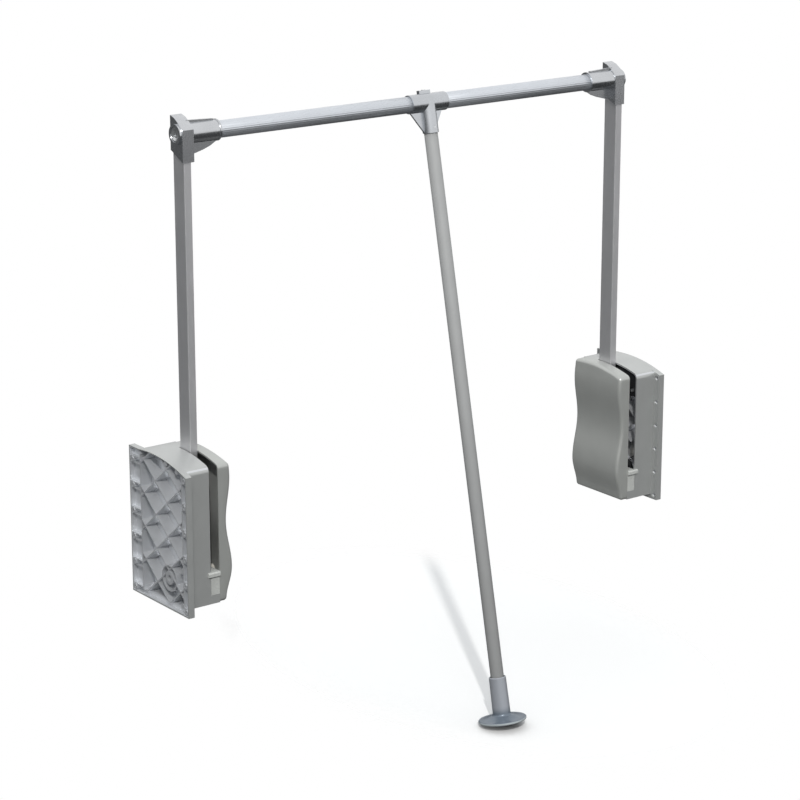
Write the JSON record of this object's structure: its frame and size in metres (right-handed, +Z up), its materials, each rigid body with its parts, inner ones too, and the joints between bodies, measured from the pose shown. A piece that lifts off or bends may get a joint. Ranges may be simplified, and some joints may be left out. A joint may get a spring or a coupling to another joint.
{
  "type": "pull down closet rod",
  "caption": "Wall-mounted wardrobe lift: a hanging rod on swinging arms, brought down and forward by a pull handle; spring-assisted return.",
  "frame": {"origin": "middle of the left housing's screw pattern, on the wall plane", "axes": "+X from the left wall to the right wall along the rod, -Y towards the user, +Z up"},
  "size_m": [1.11, 0.3758, 1.1673],
  "materials": {
    "housing_plastic": "silver-grey, fine grain",
    "cover_plastic": "silver-grey, fine grain",
    "steel_screw": "zinc plated",
    "bush_plastic": "natural white",
    "steel_shaft": "ground",
    "black_lever": "black, satin",
    "black_screw": "black, satin",
    "arm_aluminium": "satin anodised",
    "strut_black": "black, gloss",
    "black_plastic": "black, satin",
    "stop_plastic": "light grey, stippled",
    "bracket_metal": "die cast, silver paint",
    "bolt_metal": "satin",
    "rod_aluminium": "satin anodised, finely fluted",
    "joining_steel": "plated",
    "collar_metal": "die cast, silver paint",
    "handle_aluminium": "satin anodised",
    "foot_plastic": "dark blue-grey, satin",
    "pad_rubber": "ribbed"
  },
  "bodies": {
    "left_housing": {"left_wall_housing": "housing_plastic", "left_cover": "cover_plastic", "left_cover_screws": "steel_screw", "left_pivot_bushes": "bush_plastic", "left_strut_cylinder": "strut_black", "left_strut_anchor": "steel_screw", "left_strut_clamp": "black_plastic", "left_arm_guide": "black_plastic", "left_guide_screws": "steel_screw", "left_stop_block": "stop_plastic"},
    "left_arm": {"left_pivot_shaft": "steel_shaft", "left_lever": "black_lever", "left_lever_bolts": "black_screw", "left_arm_tube": "arm_aluminium", "left_lift_cam": "black_lever", "left_corner_bracket": "bracket_metal", "left_bracket_screw": "steel_screw", "left_rod_plug": "black_plastic", "left_rod_bolt": "bolt_metal", "left_rod_tube": "rod_aluminium", "joining_tube": "joining_steel"},
    "left_strut": {"left_strut_rod": "steel_shaft", "left_strut_shoe": "bush_plastic"},
    "right_housing": {"right_wall_housing": "housing_plastic", "right_cover": "cover_plastic", "right_cover_screws": "steel_screw", "right_pivot_bushes": "bush_plastic", "right_strut_cylinder": "strut_black", "right_strut_anchor": "steel_screw", "right_strut_clamp": "black_plastic", "right_arm_guide": "black_plastic", "right_guide_screws": "steel_screw", "right_stop_block": "stop_plastic"},
    "right_arm": {"right_pivot_shaft": "steel_shaft", "right_lever": "black_lever", "right_lever_bolts": "black_screw", "right_arm_tube": "arm_aluminium", "right_lift_cam": "black_lever", "right_corner_bracket": "bracket_metal", "right_bracket_screw": "steel_screw", "right_rod_plug": "black_plastic", "right_rod_bolt": "bolt_metal", "right_rod_tube": "rod_aluminium"},
    "right_strut": {"right_strut_rod": "steel_shaft", "right_strut_shoe": "bush_plastic"},
    "handle": {"handle_collar": "collar_metal", "collar_screw": "steel_screw", "handle_tube": "handle_aluminium", "handle_rivet": "steel_screw", "handle_foot": "foot_plastic", "foot_pad": "pad_rubber"}
  },
  "joints": [
    {"name": "left_arm_swing", "type": "hinge", "parent": "left_housing", "child": "left_arm", "pos_m": [0.0665, -0.029, -0.072], "axis": [1, 0, 0], "range_deg": [0, 90], "stiffness_Nm_per_rad": 5.5, "springref_deg": -28.65},
    {"name": "width_adjust", "type": "slide", "parent": "left_housing", "child": "right_housing", "axis": [1, 0, 0], "range_m": [0, 0.07]},
    {"name": "right_arm_swing", "type": "hinge", "parent": "right_housing", "child": "right_arm", "pos_m": [1.0435, -0.029, -0.072], "axis": [1, 0, 0], "range_deg": [0, 90], "stiffness_Nm_per_rad": 3, "springref_deg": -28.65},
    {"name": "left_strut_slide", "type": "slide", "parent": "left_housing", "child": "left_strut", "axis": [0, 0.342, 0.9397], "range_m": [0, 0.0201]},
    {"name": "right_strut_slide", "type": "slide", "parent": "right_housing", "child": "right_strut", "axis": [0, 0.342, 0.9397], "range_m": [0, 0.0201]},
    {"name": "handle_swing", "type": "hinge", "parent": "left_arm", "child": "handle", "pos_m": [0.59, 0, 0.706], "axis": [1, 0, 0], "range_deg": [-100, 40]}
  ],
  "couplings": [
    {"joint": "right_arm_swing", "follows": "left_arm_swing", "ratio": 1},
    {"joint": "left_strut_slide", "follows": "left_arm_swing", "m_per_rad": 0.012732},
    {"joint": "right_strut_slide", "follows": "left_arm_swing", "m_per_rad": 0.012732}
  ]
}
